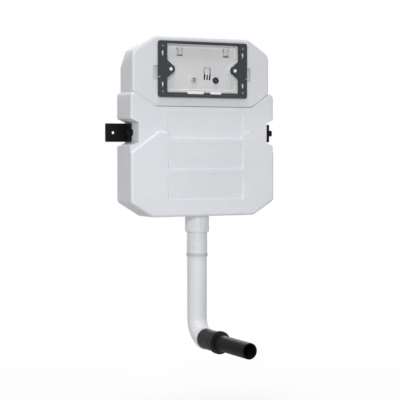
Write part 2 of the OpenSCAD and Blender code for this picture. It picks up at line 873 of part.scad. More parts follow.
module half_flush_sleeve() {
    color("lightsteelblue") {
        difference() {
            union() {
                translate([0, valve_y, 0]) along_z(sleeve_out, sleeve_z0, sleeve_z1);
                translate([rod_half_x, stem_y, 0]) along_z(boss_r, sleeve_z1 - boss_t, sleeve_z1);
                block([rod_half_x, stem_y - boss_r, sleeve_z1 - boss_t], [0, stem_y + boss_r, sleeve_z1]);
            }
            translate([0, valve_y, 0]) along_z(sleeve_in, sleeve_z0 - over, sleeve_z1 + over);
        }
        lift_stem(rod_half_x, sleeve_z1);
    }
}

module fill_valve() {
    ear_t = 3;
    ear_w = 8;
    shank_step = 0.2;
    stop_r = guide_r + 3;
    stop_t = 4;
    tail_end = top_half + inlet_reach;
    color("white") difference() {
        union() {
            translate([0, fill_y, inlet_z]) {
                along_x(inlet_r - shank_step, fill_x, top_half);
                along_x(inlet_r, top_half, tail_end);
            }
            translate([0, fill_y, inlet_z])
                along_x(flange_r, inner_half - 2 * washer_t, inner_half - washer_t);
            translate([fill_x, fill_y, 0]) {
                along_z(head_r, head_z0, head_z1);
                along_z(guide_r, float_z0, head_z0);
                along_z(stop_r, float_z0 - rest_gap - stop_t, float_z0 - rest_gap);
                along_z(guide_r, float_z0 - rest_gap, float_z0);
            }
            block([arm_x - ear_w / 2, arm_y + arm_w / 2 + rest_gap, arm_z - ear_w / 2],
                  [arm_x + ear_w / 2, arm_y + arm_w / 2 + rest_gap + ear_t, head_z0 + 2]);
            translate([arm_x, 0, arm_z])
                along_y(arm_pin_r, arm_y - arm_w / 2 - 1, arm_y + arm_w / 2 + ear_t);
        }
        translate([0, fill_y, inlet_z]) along_x(inlet_bore, fill_x, tail_end + over);
    }
}

module inlet_washer() {
    color("black") translate([0, fill_y, inlet_z]) difference() {
        along_x(flange_r, inner_half - washer_t, inner_half);
        along_x(inlet_r + thread_gap, inner_half - washer_t - over, inner_half + over);
    }
}

module inlet_backnut() {
    color("white") translate([tank_half, fill_y, inlet_z]) difference() {
        rotate([0, 90, 0]) cylinder(r = backnut_r, h = backnut_t, $fn = 6);
        along_x(inlet_r + thread_gap, -over, backnut_t + over);
    }
}

module float_cup() {
    color("ghostwhite") translate([fill_x, fill_y, 0]) difference() {
        along_z(float_r, float_z0, float_z1);
        difference() {
            along_z(float_r - float_wall, float_z0 - over, float_z1 - float_wall);
            along_z(guide_r + slide_gap + float_wall, float_z0 - over, float_z1);
        }
        along_z(guide_r + slide_gap, float_z0 - over, float_z1 + over);
    }
}

module float_rod() {
    collar_h = 2;
    gap = arm_t / 2 + float_gap;
    color("white") translate([arm_x - arm_len, arm_y, 0]) {
        along_z(float_rod_r, float_z1, arm_z + gap + collar_h);
        along_z(float_collar_r, arm_z + gap, arm_z + gap + collar_h);
        along_z(float_collar_r, arm_z - gap - collar_h, arm_z - gap);
    }
}

module float_arm() {
    tip_x = arm_x - arm_len;
    color("royalblue") difference() {
        union() {
            block([tip_x - 6, arm_y - arm_w / 2, arm_z - arm_t / 2], [arm_x, arm_y + arm_w / 2, arm_z + arm_t / 2]);
            translate([arm_x, 0, arm_z]) along_y(3, arm_y - arm_w / 2, arm_y + arm_w / 2);
            translate([tip_x - 0.8, arm_y, arm_z - arm_t / 2]) along_z(4.4, 0, arm_t);
        }
        translate([arm_x, 0, arm_z]) along_y(arm_pin_r + pin_gap, arm_y - arm_w, arm_y + arm_w);
        for (dx = [0, -1.6]) translate([tip_x + dx, arm_y, 0])
            along_z(arm_slot_r, arm_z - arm_t, arm_z + arm_t);
    }
}

module tail_washer() {
    color("black") translate([0, valve_y, 0]) difference() {
        along_z(cage_r + washer_over, floor_z, cage_z0);
        along_z(tail_r + thread_gap, floor_z - over, cage_z0 + over);
    }
}

module union_nut() {
    grip_count = 12;
    grip_w = 5;
    grip_t = 0.8;
    color("whitesmoke") translate([0, valve_y, 0]) difference() {
        along_z(nut_r, nut_z0, z_base);
        along_z(tail_r + thread_gap, nut_z0 + nut_lip, z_base + over);
        along_z(neck_r + rest_gap, nut_z0 - over, z_base);
        for (i = [0 : grip_count - 1]) rotate([0, 0, i * 360 / grip_count])
            block([nut_r - grip_t, -grip_w / 2, nut_z0 + 8], [nut_r + over, grip_w / 2, z_base - 8]);
    }
}

module pipe_seal() {
    color("black") translate([0, valve_y, 0]) difference() {
        along_z(tail_r, nut_z0 + nut_lip, tail_z0);
        along_z(tail_bore, nut_z0, tail_z0 + over);
    }
}

// Quarter bend of a round section, from straight down to straight forward
module quarter_bend(r) {
    translate([0, bend_y, bend_z]) rotate([90, 0, 90]) rotate([0, 0, -90])
        rotate_extrude(angle = 90) translate([bend_r, 0]) circle(r);
}

module flush_bend() {
    bead_r = pipe_r + 1.6;
    bead_len = 8;
    collar_out = spigot_r + 4.6;
    collar_len = 9;
    color("whitesmoke") difference() {
        union() {
            translate([0, valve_y, 0]) {
                along_z(neck_r, neck_bottom, nut_z0 + nut_lip);
                along_z(bead_r, neck_bottom - bead_len, neck_bottom);
                along_z(pipe_r, bend_z, neck_bottom);
            }
            quarter_bend(pipe_r);
            translate([0, 0, out_z]) {
                along_y(spigot_r, spigot_end, bend_y);
                along_y(collar_out, sleeve_y1, sleeve_y1 + collar_len);
            }
        }
        translate([0, valve_y, 0]) along_z(pipe_bore, bend_z, nut_z0 + nut_lip + over);
        quarter_bend(pipe_bore);
        translate([0, 0, out_z]) along_y(spigot_bore, spigot_end - over, bend_y + skin);
    }
}

module connector_sleeve() {
    lip_len = 3;
    lip_r = sleeve_r + 0.8;
    color("black") translate([0, 0, out_z]) difference() {
        union() {
            along_y(sleeve_r, sleeve_y0, sleeve_y1);
            along_y(ring_r, sleeve_y0, sleeve_y0 + ring_len);
            along_y(lip_r, sleeve_y0 + ring_len + 8, sleeve_y0 + ring_len + 8 + lip_len);
        }
        along_y(spigot_r + press_gap, spout_root + thread_gap, sleeve_y1 + over);
        along_y(root_r + press_gap, sleeve_y0 - over, spout_root + thread_gap);
    }
}

module connector_pipe() {
    color("black") translate([0, 0, out_z]) difference() {
        union() {
            along_y(spout_r, spout_end + spout_bevel, sleeve_y0);
            along_y(root_r, sleeve_y0, spout_root);
            translate([0, spout_end + spout_bevel, 0]) rotate([90, 0, 0])
                cylinder(r1 = spout_r, r2 = spout_r - spout_bevel, h = spout_bevel);
        }
        along_y(spout_bore, spout_end - over, spout_root + over);
    }
}

// Angle bracket with its corner at the origin: a plain leg along -x and a lugged leg along -y
module wall_bracket(plain, lugged) {
    lug_h = 7;
    half_h = bracket_h / 2;
    difference() {
        union() {
            front_prism(-bracket_t, 0) round_rect([-plain, -half_h], [0, half_h], 2);
            block([-bracket_t, -bracket_t, -half_h], [0, 0, half_h]);
            rotate([0, 0, 90]) front_prism(0, bracket_t) round_rect([-lugged, -half_h], [0, half_h], 2);
            rotate([0, 0, 90]) front_prism(0, bracket_t)
                round_rect([-lugged - lug_tip, -lug_h], [0, lug_h], lug_tip / 2);
        }
        translate([-leg_hole, 0, 0]) along_y(fix_d / 2, -bracket_t - over, over);
        translate([0, -leg_hole, 0]) along_x(fix_d / 2, -bracket_t - over, over);
    }
}

module bracket_left() { color("black") translate([-notch_x, 0, 0]) wall_bracket(wall_leg, side_leg); }

module bracket_right() {
    color("black") translate([notch_x, 0, 0]) rotate([0, 0, 90]) wall_bracket(side_leg, wall_leg);
}

module bracket_screws() {
    color("silver")
        for (s = [-1, 1]) translate([0, -leg_hole, 0]) mirror([s < 0 ? 1 : 0, 0, 0]) {
            along_x(bracket_screw_r, inner_half, notch_x + bracket_t);
            along_x(bracket_head_r, notch_x + bracket_t, notch_x + bracket_t + bracket_head_t);
        }
}

jacket_front();
jacket_back();
tank();
access_frame();
frame_screws();
cover_plate();
cover_hooks();
cover_latches();
push_rod_half();
push_rod_full();
lever_bracket();
lever_pin();
lever_half();
lever_full();
valve_cage();
overflow_tube();
valve_seal();
full_flush_rod();
half_flush_sleeve();
fill_valve();
inlet_washer();
inlet_backnut();
float_cup();
float_rod();
float_arm();
tail_washer();
union_nut();
pipe_seal();
flush_bend();
connector_sleeve();
connector_pipe();
bracket_left();
bracket_right();
bracket_screws();
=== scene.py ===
# Looks of the concealed wall cistern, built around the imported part
import json
import math

import bmesh
import bpy
from mathutils import Matrix, Vector


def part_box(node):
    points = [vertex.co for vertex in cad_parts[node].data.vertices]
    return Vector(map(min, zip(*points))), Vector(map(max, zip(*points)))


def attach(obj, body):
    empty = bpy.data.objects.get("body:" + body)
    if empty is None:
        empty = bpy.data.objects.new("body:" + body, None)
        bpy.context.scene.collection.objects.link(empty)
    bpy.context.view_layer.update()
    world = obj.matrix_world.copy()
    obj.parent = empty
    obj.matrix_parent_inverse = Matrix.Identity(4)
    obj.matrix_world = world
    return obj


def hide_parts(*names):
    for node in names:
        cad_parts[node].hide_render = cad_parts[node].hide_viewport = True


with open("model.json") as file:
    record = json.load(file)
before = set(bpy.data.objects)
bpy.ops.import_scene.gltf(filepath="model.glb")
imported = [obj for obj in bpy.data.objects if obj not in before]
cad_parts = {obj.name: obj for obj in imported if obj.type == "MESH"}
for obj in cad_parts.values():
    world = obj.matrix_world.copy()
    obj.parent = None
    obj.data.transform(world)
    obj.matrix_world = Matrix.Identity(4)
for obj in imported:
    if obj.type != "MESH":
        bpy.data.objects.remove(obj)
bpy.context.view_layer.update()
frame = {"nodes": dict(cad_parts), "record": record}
nodes = frame["nodes"]
mounts = {m["name"]: m for m in frame["record"]["mounts"]}

MM = 0.001
FORWARD = (0, -1, 0)

# Spans over which a mask goes from zero to one, in metres on the part; the first two keep the painted corner
# shade off the sunk panels, the next two bound the painted shade towards the top
PANEL_TOP_FADE = (0.04, 0.05)
PANEL_SIDE_FADE = (0.11, 0.13)
SHADE_RISE_FADE = (0.0, 0.08)
SHADE_FRONT_FADE = (-0.060, -0.066)

# Pointiness over which an edge goes from fresh to worn
WEAR_FADE = (0.52, 0.62)


# Shader helpers

def new_material(name):
    mat = bpy.data.materials.new(name)
    mat.use_nodes = True
    tree = mat.node_tree
    tree.nodes.clear()
    out = tree.nodes.new("ShaderNodeOutputMaterial")
    shader = tree.nodes.new("ShaderNodeBsdfPrincipled")
    tree.links.new(shader.outputs["BSDF"], out.inputs["Surface"])
    return mat, tree, shader


def noise(tree, scale, detail=3.0, rough=0.55, stretch=(1, 1, 1)):
    coord = tree.nodes.new("ShaderNodeTexCoord")
    mapping = tree.nodes.new("ShaderNodeMapping")
    mapping.inputs["Scale"].default_value = stretch
    tex = tree.nodes.new("ShaderNodeTexNoise")
    tex.inputs["Scale"].default_value = scale
    tex.inputs["Detail"].default_value = detail
    tex.inputs["Roughness"].default_value = rough
    tree.links.new(coord.outputs["Object"], mapping.inputs["Vector"])
    tree.links.new(mapping.outputs["Vector"], tex.inputs["Vector"])
    return tex.outputs["Fac"]


def cells(tree, scale):
    coord = tree.nodes.new("ShaderNodeTexCoord")
    tex = tree.nodes.new("ShaderNodeTexVoronoi")
    tex.feature = "SMOOTH_F1"
    tex.inputs["Scale"].default_value = scale
    tex.inputs["Smoothness"].default_value = 0.35
    tree.links.new(coord.outputs["Object"], tex.inputs["Vector"])
    return tex.outputs["Distance"]


def ramp(tree, fac, low, high, start=0.3, end=0.7):
    node = tree.nodes.new("ShaderNodeValToRGB")
    node.color_ramp.elements[0].position = start
    node.color_ramp.elements[0].color = (*low, 1)
    node.color_ramp.elements[1].position = end
    node.color_ramp.elements[1].color = (*high, 1)
    tree.links.new(fac, node.inputs["Fac"])
    return node.outputs["Color"]


# Takes a value from zero to one into the span from low to high
def spread(tree, fac, low, high):
    node = tree.nodes.new("ShaderNodeMapRange")
    node.inputs["To Min"].default_value = low
    node.inputs["To Max"].default_value = high
    tree.links.new(fac, node.inputs["Value"])
    return node.outputs["Result"]


# Zero at the start, one at the end
def step_mask(tree, value, start, end):
    node = tree.nodes.new("ShaderNodeMapRange")
    node.inputs["From Min"].default_value = start
    node.inputs["From Max"].default_value = end
    tree.links.new(value, node.inputs["Value"])
    return node.outputs["Result"]


def combine(tree, operation, *values):
    node = tree.nodes.new("ShaderNodeMath")
    node.operation = operation
    for socket, value in zip(node.inputs, values):
        tree.links.new(value, socket)
    return node.outputs[0]


# Multiplies a colour by another, as far as the factor says, which is a number or a mask
def tint(tree, colour, other, factor):
    mix = tree.nodes.new("ShaderNodeMix")
    mix.data_type = "RGBA"
    mix.blend_type = "MULTIPLY"
    if isinstance(factor, float):
        mix.inputs["Factor"].default_value = factor
    else:
        tree.links.new(factor, mix.inputs["Factor"])
    tree.links.new(colour, mix.inputs["A"])
    tree.links.new(other, mix.inputs["B"])
    return mix.outputs["Result"]


def bump(tree, height, strength, depth, below=None):
    node = tree.nodes.new("ShaderNodeBump")
    node.inputs["Strength"].default_value = strength
    node.inputs["Distance"].default_value = depth
    tree.links.new(height, node.inputs["Height"])
    if below is not None:
        tree.links.new(below, node.inputs["Normal"])
    return node.outputs["Normal"]


def edge_wear(tree, colour, worn):
    geo = tree.nodes.new("ShaderNodeNewGeometry")
    mix = tree.nodes.new("ShaderNodeMix")
    mix.data_type = "RGBA"
    mix.inputs["B"].default_value = (*worn, 1)
    tree.links.new(step_mask(tree, geo.outputs["Pointiness"], *WEAR_FADE), mix.inputs["Factor"])
    tree.links.new(colour, mix.inputs["A"])
    return mix.outputs["Result"]


# Painted shade in the deep inner corners, from ambient occlusion, as a factor below one
def painted_corner_shade(tree, reach, darkest, deep, shallow):
    shade = tree.nodes.new("ShaderNodeAmbientOcclusion")
    shade.samples = 12
    shade.inputs["Distance"].default_value = reach
    shade_factor = tree.nodes.new("ShaderNodeMapRange")
    shade_factor.inputs["From Min"].default_value = deep
    shade_factor.inputs["From Max"].default_value = shallow
    shade_factor.inputs["To Min"].default_value = darkest
    tree.links.new(shade.outputs["AO"], shade_factor.inputs["Value"])
    return shade_factor.outputs["Result"]


# Place on the part, in metres
def place_axes(tree):
    coord = tree.nodes.new("ShaderNodeTexCoord")
    split = tree.nodes.new("ShaderNodeSeparateXYZ")
    tree.links.new(coord.outputs["Object"], split.inputs["Vector"])
    return split.outputs["X"], split.outputs["Y"], split.outputs["Z"]


# One above the ledge and at the sides, zero over the sunk panels; it lets the painted corner shade through
def corner_shade_mask(tree):
    x, _, z = place_axes(tree)
    above = step_mask(tree, z, *PANEL_TOP_FADE)
    beside = step_mask(tree, combine(tree, "ABSOLUTE", x), *PANEL_SIDE_FADE)
    return combine(tree, "MAXIMUM", above, beside)


# Painted shade on the front of the jacket, darker towards its top, as a factor below one
def painted_upper_shade(tree, darkest):
    _, y, z = place_axes(tree)
    upper = step_mask(tree, z, *SHADE_RISE_FADE)
    front = step_mask(tree, y, *SHADE_FRONT_FADE)
    return spread(tree, combine(tree, "MULTIPLY", upper, front), 1.0, darkest)


# Materials

def plastic(name, low, high, rough, grain=900.0, depth=0.00006, spec=0.5, worn=None):
    mat, tree, shader = new_material(name)
    colour = ramp(tree, noise(tree, scale=14.0), low, high)
    if worn is not None:
        colour = edge_wear(tree, colour, worn)
    tree.links.new(colour, shader.inputs["Base Color"])
    tree.links.new(spread(tree, noise(tree, scale=60.0), *rough), shader.inputs["Roughness"])
    shader.inputs["Specular IOR Level"].default_value = spec
    fine = bump(tree, noise(tree, grain, detail=2.0), strength=0.25, depth=depth)
    wave = bump(tree, noise(tree, scale=30.0, detail=1.0), strength=0.12, depth=0.0004, below=fine)
    tree.links.new(wave, shader.inputs["Normal"])
    return mat


def foam(name, low, high, rough, spec):
    mat, tree, shader = new_material(name)
    beads = cells(tree, scale=260.0)
    seams = ramp(tree, beads, (1, 1, 1), (0.93, 0.935, 0.94), start=0.35, end=0.75)
    # Painted shade in the inner corners of the jacket, left off the sunk panels
    corners = painted_corner_shade(tree, reach=0.03, darkest=0.76, deep=0.5, shallow=0.82)
    colour = ramp(tree, noise(tree, scale=9.0, detail=4.0), low, high)
    colour = tint(tree, colour, seams, 0.3)
    colour = tint(tree, colour, corners, corner_shade_mask(tree))
    # Painted shade, darker towards the top of the front
    colour = tint(tree, colour, painted_upper_shade(tree, darkest=0.92), 1.0)
    tree.links.new(colour, shader.inputs["Base Color"])
    tree.links.new(spread(tree, noise(tree, scale=40.0), *rough), shader.inputs["Roughness"])
    shader.inputs["Specular IOR Level"].default_value = spec
    pits = bump(tree, beads, strength=0.08, depth=0.0002)
    soft = bump(tree, noise(tree, scale=18.0, detail=2.0), strength=0.08, depth=0.0012, below=pits)
    tree.links.new(soft, shader.inputs["Normal"])
    return mat


def metal(name, low, high, rough, stretch):
    mat, tree, shader = new_material(name)
    streak = noise(tree, scale=700.0, detail=2.0, rough=0.6, stretch=stretch)
    tree.links.new(ramp(tree, streak, low, high), shader.inputs["Base Color"])
    tree.links.new(spread(tree, streak, *rough), shader.inputs["Roughness"])
    shader.inputs["Metallic"].default_value = 1.0
    tree.links.new(bump(tree, streak, strength=0.15, depth=0.00004), shader.inputs["Normal"])
    return mat


JACKET = foam("jacket_foam", (0.745, 0.755, 0.79), (0.785, 0.795, 0.825), (0.5, 0.64), spec=0.2)
TANK = plastic("tank_plastic", (0.74, 0.74, 0.73), (0.8, 0.8, 0.79), (0.4, 0.55))
FRAME = plastic("frame_plastic", (0.021, 0.026, 0.03), (0.028, 0.034, 0.038), (0.42, 0.56),
                spec=0.35, worn=(0.05, 0.058, 0.063))
COVER = plastic("cover_plastic", (0.63, 0.63, 0.635), (0.68, 0.68, 0.685), (0.4, 0.52), spec=0.3)
WHITE = plastic("white_plastic", (0.85, 0.855, 0.86), (0.89, 0.895, 0.9), (0.3, 0.42))
NAVY = plastic("navy_plastic", (0.008, 0.011, 0.04), (0.014, 0.018, 0.055), (0.3, 0.42), spec=0.35)
# Dark grey for the bars that stand in as painted shade of the latch slots
SLOT_SHADE = plastic("slot_shade_plastic", (0.09, 0.09, 0.095), (0.14, 0.14, 0.145), (0.4, 0.52), spec=0.3)
# Lighter blue for the pin of the full rod, as a painted reflection in its hollow end
REFLECTION_BLUE = plastic("pin_reflection_plastic", (0.1, 0.12, 0.22), (0.15, 0.17, 0.28), (0.3, 0.42), spec=0.35)
LEVER = plastic("lever_plastic", (0.03, 0.032, 0.036), (0.045, 0.047, 0.052), (0.4, 0.52), spec=0.35)
PIPE = plastic("pipe_plastic", (0.71, 0.72, 0.74), (0.75, 0.76, 0.775), (0.24, 0.36),
               grain=600.0, depth=0.00003, spec=0.35)
BAND = plastic("pipe_band", (0.5, 0.525, 0.59), (0.56, 0.58, 0.64), (0.34, 0.44), spec=0.3)
SPOUT = plastic("spout_plastic", (0.0075, 0.0068, 0.0062), (0.0105, 0.0095, 0.0088), (0.46, 0.58),
                spec=0.06)
RUBBER = plastic("rubber", (0.007, 0.007, 0.007), (0.012, 0.012, 0.012), (0.5, 0.66),
                 grain=1400.0, depth=0.0001, spec=0.24)
BRACKET = plastic("bracket_paint", (0.004, 0.004, 0.0045), (0.007, 0.007, 0.0075), (0.38, 0.55),
                  grain=1600.0, depth=0.00012, spec=0.1, worn=(0.015, 0.015, 0.016))
STEEL = metal("zinc_steel", (0.5, 0.51, 0.53), (0.62, 0.63, 0.64), (0.28, 0.42), (1, 6, 1))
DARK_ZINC = metal("dark_zinc", (0.13, 0.135, 0.14), (0.22, 0.225, 0.23), (0.3, 0.45), (1, 1, 6))
BLACK_STEEL = metal("black_steel", (0.035, 0.035, 0.037), (0.06, 0.06, 0.062), (0.35, 0.5), (1, 1, 6))


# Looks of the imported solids

LOOKS = {
    "jacket_front": JACKET, "jacket_back": JACKET, "tank": TANK, "access_frame": FRAME,
    "cover_plate": COVER, "cover_hooks": WHITE, "cover_latches": COVER,
    "push_rod_half": COVER, "push_rod_full": NAVY, "lever_bracket": WHITE, "lever_pin": STEEL,
    "lever_half": LEVER, "lever_full": LEVER, "valve_cage": WHITE, "overflow_tube": WHITE,
    "valve_seal": RUBBER, "full_flush_rod": WHITE, "half_flush_sleeve": NAVY, "fill_valve": WHITE,
    "inlet_washer": RUBBER, "inlet_backnut": WHITE, "float_cup": WHITE, "float_rod": WHITE,
    "float_arm": NAVY, "tail_washer": RUBBER, "union_nut": PIPE, "pipe_seal": RUBBER,
    "flush_bend": PIPE, "connector_sleeve": RUBBER, "connector_pipe": SPOUT,
    "bracket_left": BRACKET, "bracket_right": BRACKET,
    "frame_screws": DARK_ZINC, "bracket_screws": BLACK_STEEL,
}

# Widths of the rounded edges in millimetres
EDGES = {
    "jacket_front": 1.2, "jacket_back": 1.0, "access_frame": 0.8, "cover_plate": 0.5, "cover_hooks": 0.5,
    "cover_latches": 0.4, "push_rod_half": 0.6, "push_rod_full": 0.6, "lever_bracket": 0.4, "lever_half": 0.4,
    "lever_full": 0.4, "union_nut": 0.6, "flush_bend": 0.5, "connector_sleeve": 1.0, "connector_pipe": 0.4,
    "bracket_left": 0.5, "bracket_right": 0.5, "fill_valve": 0.4, "inlet_backnut": 0.5,
}


# Rounds the edges of a solid without touching its own mesh
def soften(obj, width):
    weld = obj.modifiers.new("weld", "WELD")
    weld.merge_threshold = 0.005 * MM
    flat = obj.modifiers.new("flat", "DECIMATE")
    flat.decimate_type = "DISSOLVE"
    flat.angle_limit = math.radians(0.4)
    bevel = obj.modifiers.new("bevel", "BEVEL")
    bevel.width = width
    bevel.segments = 2
    bevel.limit_method = "ANGLE"
    bevel.angle_limit = math.radians(30.0)
    bevel.use_clamp_overlap = True
    normals = obj.modifiers.new("normals", "WEIGHTED_NORMAL")
    normals.keep_sharp = True
    normals.weight = 60


def shade_smooth(obj, degrees=30.0):
    bpy.context.view_layer.objects.active = obj
    for other in bpy.context.selected_objects:
        other.select_set(False)
    obj.select_set(True)
    if obj.data.has_custom_normals:
        bpy.ops.mesh.customdata_custom_splitnormals_clear()
    bpy.ops.object.shade_smooth_by_angle(angle=math.radians(degrees))
    obj.select_set(False)


for name, obj in nodes.items():
    obj.data.materials.clear()
    obj.data.materials.append(LOOKS[name])
    shade_smooth(obj)
    if name in EDGES:
        soften(obj, EDGES[name] * MM)


# Shape helpers for the added pieces

def add_piece(name, verts, faces, mat, body, slot, degrees=35.0):
    mesh = bpy.data.meshes.new(name)
    mesh.from_pydata([tuple(v) for v in verts], [], faces)
    form = bmesh.new()
    form.from_mesh(mesh)
    bmesh.ops.remove_doubles(form, verts=form.verts, dist=0.001 * MM)
    bmesh.ops.recalc_face_normals(form, faces=form.faces)
    form.to_mesh(mesh)
    form.free()
    mesh.materials.append(mat)
    obj = bpy.data.objects.new(name, mesh)
    bpy.context.scene.collection.objects.link(obj)
    shade_smooth(obj, degrees)
    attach(obj, body)
    return obj


# Turns local x, y, z into a frame whose z axis points along the given direction
def facing(place, direction):
    turned = Vector(direction).to_track_quat("Z", "Y").to_matrix().to_4x4()
    return Matrix.Translation(Vector(place)) @ turned


def full_turn(segments):
    return [2 * math.pi * i / segments for i in range(segments)]


# Point about the local z axis, from a radius and a height in millimetres
def polar(matrix, radius, angle, height):
    return matrix @ (Vector((radius * math.cos(angle), radius * math.sin(angle), height)) * MM)


# Revolves a closed profile of (radius, height) pairs in millimetres about the local z axis
def lathe(profile, matrix, segments=48):
    verts = []
    faces = []
    count = len(profile)
    for angle in full_turn(segments):
        for radius, height in profile:
            verts.append(polar(matrix, radius, angle, height))
    for i in range(segments):
        for j in range(count):
            a = i * count + j
            b = i * count + (j + 1) % count
            c = ((i + 1) % segments) * count + (j + 1) % count
            d = ((i + 1) % segments) * count + j
            faces.append((a, d, c, b))
    return verts, faces


# Stacks rings of equal length into a closed skin with a face at each end
def skin(rings):
    count = len(rings[0])
    verts = [v for ring in rings for v in ring]
    faces = [tuple(range(count - 1, -1, -1))]
    for k in range(len(rings) - 1):
        for i in range(count):
            a = k * count + i
            b = k * count + (i + 1) % count
            faces.append((a, b, b + count, a + count))
    faces.append(tuple((len(rings) - 1) * count + i for i in range(count)))
    return verts, faces


# Round bar along a line of points in an upright plane
def tube(points, radius, sides=10):
    rings = []
    last = len(points) - 1
    for i, point in enumerate(points):
        along = (points[min(i + 1, last)] - points[max(i - 1, 0)]).normalized()
        side = along.cross(Vector((0, 1, 0))).normalized()
        other = along.cross(side)
        ring = []
        for angle in full_turn(sides):
            ring.append(point + (side * math.cos(angle) + other * math.sin(angle)) * radius)
        rings.append(ring)
    return skin(rings)


# Arc in an upright plane, between two angles in degrees
def corner(centre, radius, start, end, y, steps=8):
    points = []
    for i in range(steps + 1):
        angle = math.radians(start + (end - start) * i / steps)
        points.append(Vector((centre[0] + radius * math.cos(angle), y, centre[1] + radius * math.sin(angle))))
    return points


# Flat plate with rounded corners, its front edge chamfered
def plate(place, size, radius, thick, steps=8):
    matrix = facing(place, FORWARD)
    chamfer = 0.4

    def ring(shrink, height):
        points = []
        half_w, half_h = size[0] / 2 - shrink, size[1] / 2 - shrink
        for sx, sy, start in ((1, 1, 0), (-1, 1, 90), (-1, -1, 180), (1, -1, 270)):
            for i in range(steps + 1):
                angle = math.radians(start + 90 * i / steps)
                x = sx * (half_w - radius) + radius * math.cos(angle)
                y = sy * (half_h - radius) + radius * math.sin(angle)
                points.append(matrix @ (Vector((x, y, height)) * MM))
        return points

    return skin([ring(0, -thick), ring(0, -chamfer), ring(chamfer, 0)])


def joined(shapes):
    verts = []
    faces = []
    for part_verts, part_faces in shapes:
        base = len(verts)
        verts.extend(part_verts)
        faces.extend(tuple(base + i for i in face) for face in part_faces)
    return verts, faces


# Places of the frame and the cover, in metres
frame_low, frame_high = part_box("access_frame")
cover_low, cover_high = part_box("cover_plate")
frame_front = frame_low[1]
frame_mid_z = (frame_low[2] + frame_high[2]) / 2
COVER_T = 3.0 * MM
cover_front = cover_high[1] - COVER_T

# Sunk panels of the jacket, in millimetres from its low corner
PANEL_W = 194.0
PANEL_SHIFT = 4.0
PANEL_H = 60.0
PANEL_RIB = 9.0
PANEL_FOOT = 38.0
PANEL_START = 0.3
PANEL_DEPTH = 3.0

# Band of the jacket that is set back, and holds the upper part of the third panel
BAND_STEP = 3.0
BAND_FOOT = 194.0


# Sloping fillets at both ends of the sunk panels, which grow deeper downwards
def panel_fillets():
    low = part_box("jacket_front")[0]
    sunk = 0.05
    bed = 0.3
    shapes = []
    for i, step, foot in ((0, 0, 0), (1, 0, 0), (2, BAND_STEP, BAND_FOOT)):
        base = PANEL_FOOT + i * (PANEL_H + PANEL_RIB)
        for side in (-1, 1):
            rings = []
            for z in (max(base, foot), base + PANEL_H):
                depth = PANEL_START + (PANEL_DEPTH - PANEL_START) * (base + PANEL_H - z) / PANEL_H
                outline = ((bed, sunk), (bed, depth + sunk), (-depth, depth + sunk))
                ring = []
                for out, back in outline:
                    x = PANEL_SHIFT + side * (PANEL_W / 2 + out)
                    ring.append(Vector((x * MM, low[1] + (step + back) * MM, low[2] + z * MM)))
                rings.append(ring)
            shapes.append(skin(rings))
    add_piece("panel_fillets", *joined(shapes), JACKET, "cistern", "jacket")


# White inserts in the two lug eyes of the frame
def eye_inserts():
    eyes = mounts["plate_eyes"]
    clearance = 0.1
    radius = eyes["dims"]["hole_r_mm"] - clearance
    half = eyes["dims"]["spacing_x_mm"] / 2 * MM
    profile = [(0, -1.4), (1.2, -1.4), (1.7, -0.7), (radius - 0.5, -0.7), (radius, -1.1),
               (radius, -4.6), (0, -4.6)]
    shapes = [lathe(profile, facing((x, frame_front, eyes["pos_m"][2]), FORWARD)) for x in (-half, half)]
    add_piece("eye_inserts", *joined(shapes), WHITE, "cistern", "white_plastic")


# Slanted clip tongue with round ends, the lower one narrower
def tongue(place, width, length, thick, tilt, taper, steps=10):
    matrix = facing(place, FORWARD) @ Matrix.Rotation(tilt, 4, "Z")
    run = (length - width) / 2
    edge_h = 0.5
    edge_w = 0.4

    def ring(shrink, height):
        points = []
        for end, start, radius in ((1, 0.0, width / 2 - shrink), (-1, math.pi, taper * width / 2 - shrink)):
            for i in range(steps + 1):
                angle = start + math.pi * i / steps
                local = Vector((radius * math.cos(angle), end * run + radius * math.sin(angle), height))
                points.append(matrix @ (local * MM))
        return points

    return skin([ring(0, -thick), ring(0, -edge_h), ring(edge_w, 0)])


# Tongues that show through the upright slots of the frame
def slot_tongues():
    side_room = 1.2
    end_room = 2.4
    sunk = 1.0 * MM
    shapes = []
    for name in ("plate_slots_left", "plate_slots_right"):
        slots = mounts[name]
        rise = slots["dims"]["spacing_y_mm"] / 2 * MM
        width = 2 * slots["dims"]["hole_r_mm"] - side_room
        length = slots["dims"]["slot_length_mm"] - end_room
        for side in (-1, 1):
            place = (slots["pos_m"][0], frame_front + sunk, slots["pos_m"][2] + side * rise)
            shapes.append(tongue(place, width, length, thick=3.6, tilt=math.radians(8), taper=0.5))
    add_piece("slot_tongues", *joined(shapes), COVER, "cistern", "cover")


# Pale clip tabs on the outer edges of the frame
def edge_clips():
    width = 4.4
    height = 1.8
    proud = 0.3 * MM
    drop = 18.0 * MM
    inset = width / 2 * MM
    shapes = []
    for x in (frame_low[0] + inset, frame_high[0] - inset):
        place = (x, frame_front - proud, frame_mid_z - drop)
        shapes.append(plate(place, (width, height), radius=0.6, thick=2.0))
    add_piece("edge_clips", *joined(shapes), COVER, "cistern", "cover")


def clamped(value):
    return min(1.0, max(0.0, value))


# Faces between two rings of equal length, each given by its first vertex
def ring_faces(first, second, count):
    faces = []
    for i in range(count):
        j = (i + 1) % count
        faces.append((first + i, second + i, second + j, first + j))
    return faces


